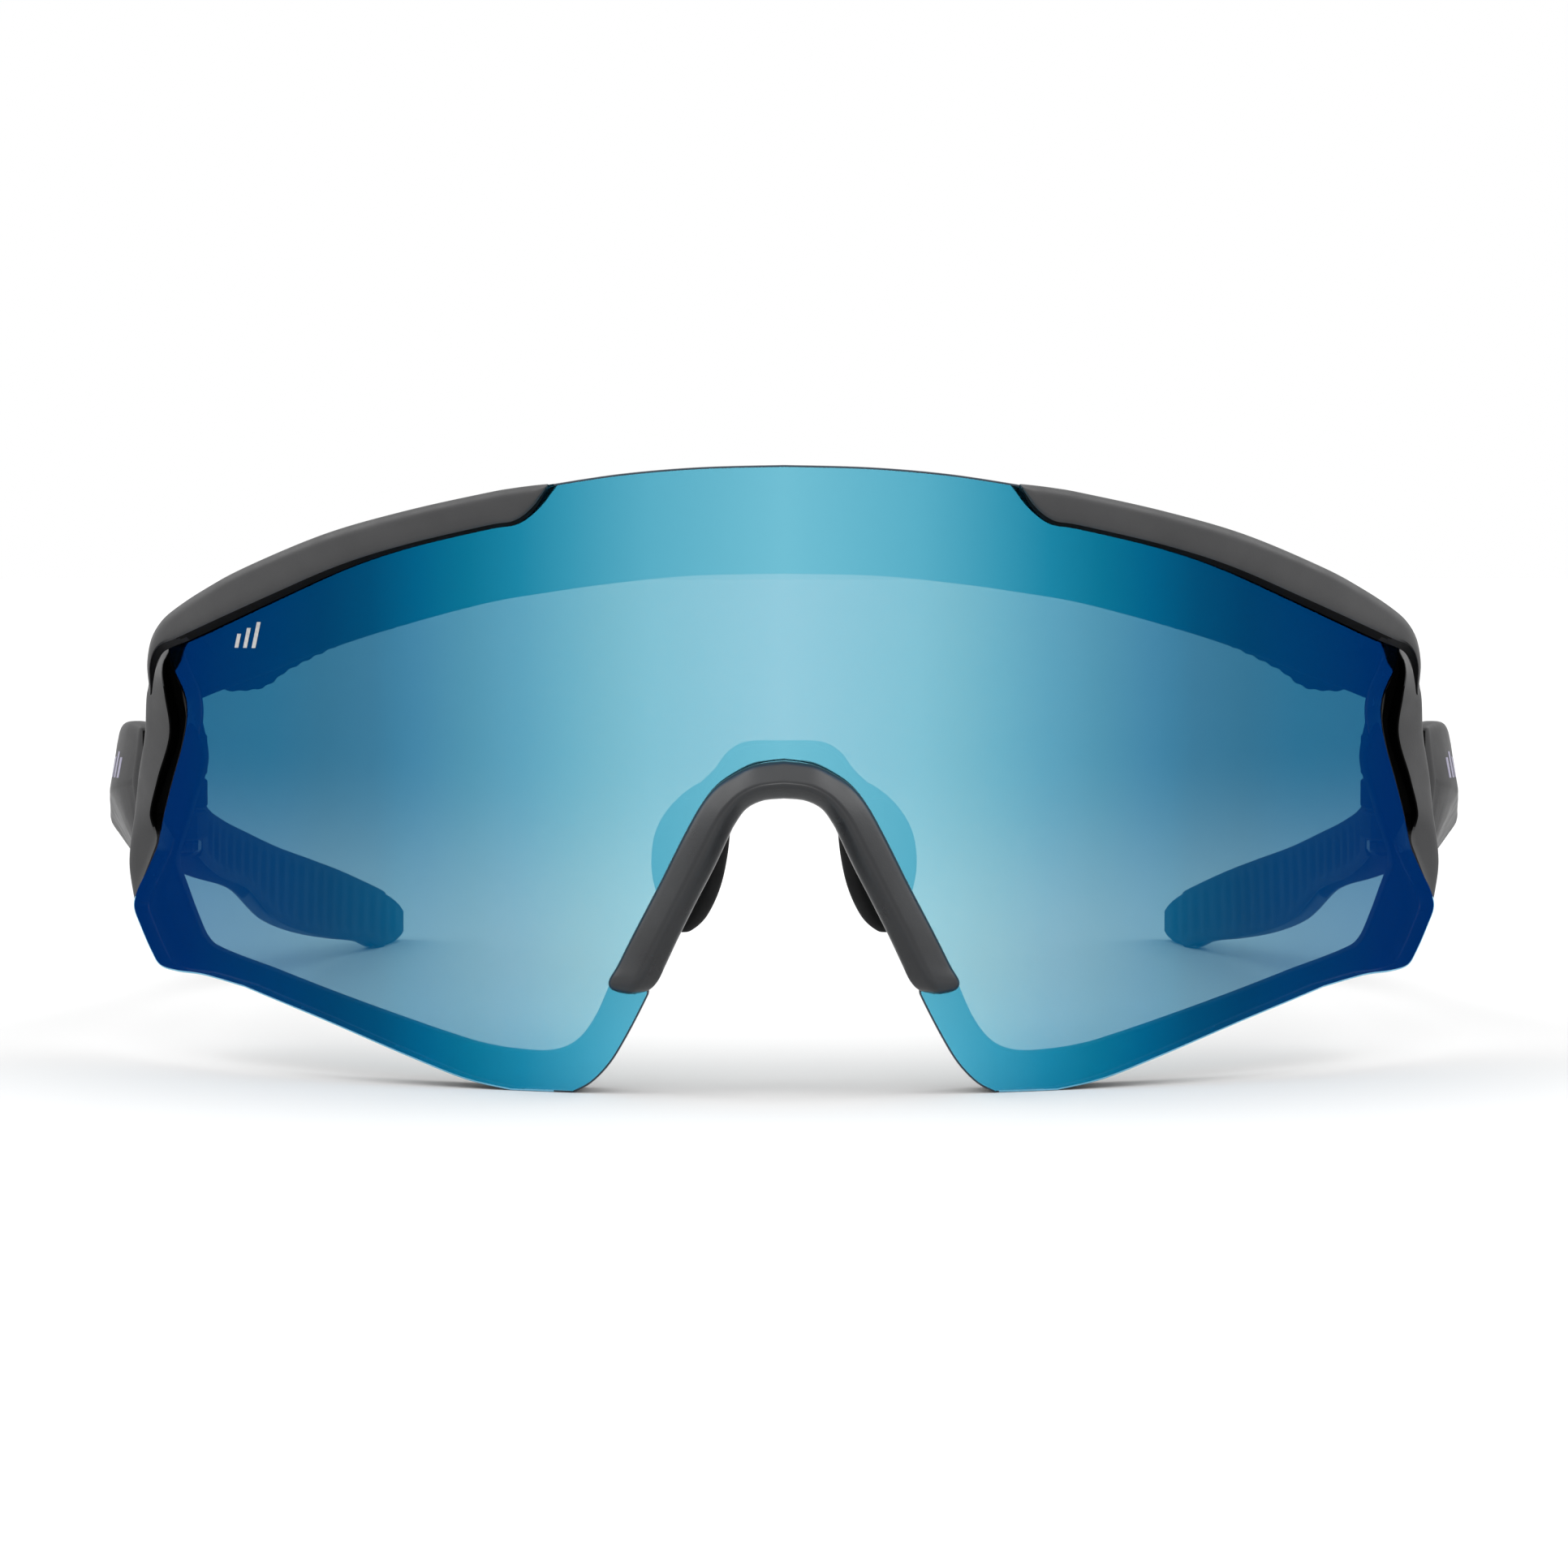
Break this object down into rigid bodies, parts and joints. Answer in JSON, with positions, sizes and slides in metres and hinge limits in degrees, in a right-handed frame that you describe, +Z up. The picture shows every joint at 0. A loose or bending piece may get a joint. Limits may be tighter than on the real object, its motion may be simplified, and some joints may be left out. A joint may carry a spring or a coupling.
{
  "type": "wraparound sport sunglasses",
  "caption": "Wraparound shield sunglasses with a full rim behind the lens, brow covers, a nose piece with flexing pads and folding temples with ribbed rubber grips.",
  "frame": {"origin": "middle of the bounding box in X and Y, at the table the open glasses stand on", "axes": "+X to the wearer's left, +Y from the lens back along the temples, +Z up"},
  "size_m": [0.15, 0.1676, 0.0609],
  "materials": {
    "frame_plastic": "fine matte moulded nylon",
    "lens_mirror": "cyan to navy mirror coating on tinted polycarbonate",
    "soft_rubber": "matte moulded rubber, ribbed where it grips",
    "clip_plastic": "satin moulded plastic",
    "screw_steel": "turned stainless steel"
  },
  "bodies": {
    "front": {"frame_front": "frame_plastic", "shield_lens": "lens_mirror", "brow_cover_left": "frame_plastic", "brow_cover_right": "frame_plastic", "brow_pad_left": "soft_rubber", "brow_pad_right": "soft_rubber", "nose_clip": "clip_plastic", "nose_saddle": "soft_rubber", "hinge_screw_left": "screw_steel", "hinge_screw_right": "screw_steel", "hinge_nut_left": "screw_steel", "hinge_nut_right": "screw_steel"},
    "left_temple": {"temple_left": "frame_plastic", "temple_grip_left": "soft_rubber", "hinge_bush_left": "screw_steel"},
    "right_temple": {"temple_right": "frame_plastic", "temple_grip_right": "soft_rubber", "hinge_bush_right": "screw_steel"},
    "left_nose_pad": {"nose_pad_left": "soft_rubber"},
    "right_nose_pad": {"nose_pad_right": "soft_rubber"}
  },
  "joints": [
    {"name": "left_temple_fold", "type": "hinge", "parent": "front", "child": "left_temple", "pos_m": [0.0647, -0.0343, 0.027], "axis": [0, 0, 1], "range_deg": [0, 92]},
    {"name": "right_temple_fold", "type": "hinge", "parent": "front", "child": "right_temple", "pos_m": [-0.0647, -0.0343, 0.027], "axis": [0, 0, -1], "range_deg": [0, 80]},
    {"name": "left_nose_pad_flex", "type": "hinge", "parent": "front", "child": "left_nose_pad", "pos_m": [0.0082, -0.0709, 0.027], "axis": [0, -1, 0], "range_deg": [0, 7], "stiffness_Nm_per_rad": 0.05},
    {"name": "right_nose_pad_flex", "type": "hinge", "parent": "front", "child": "right_nose_pad", "pos_m": [-0.0082, -0.0709, 0.027], "axis": [0, 1, 0], "range_deg": [0, 7], "stiffness_Nm_per_rad": 0.05}
  ]
}
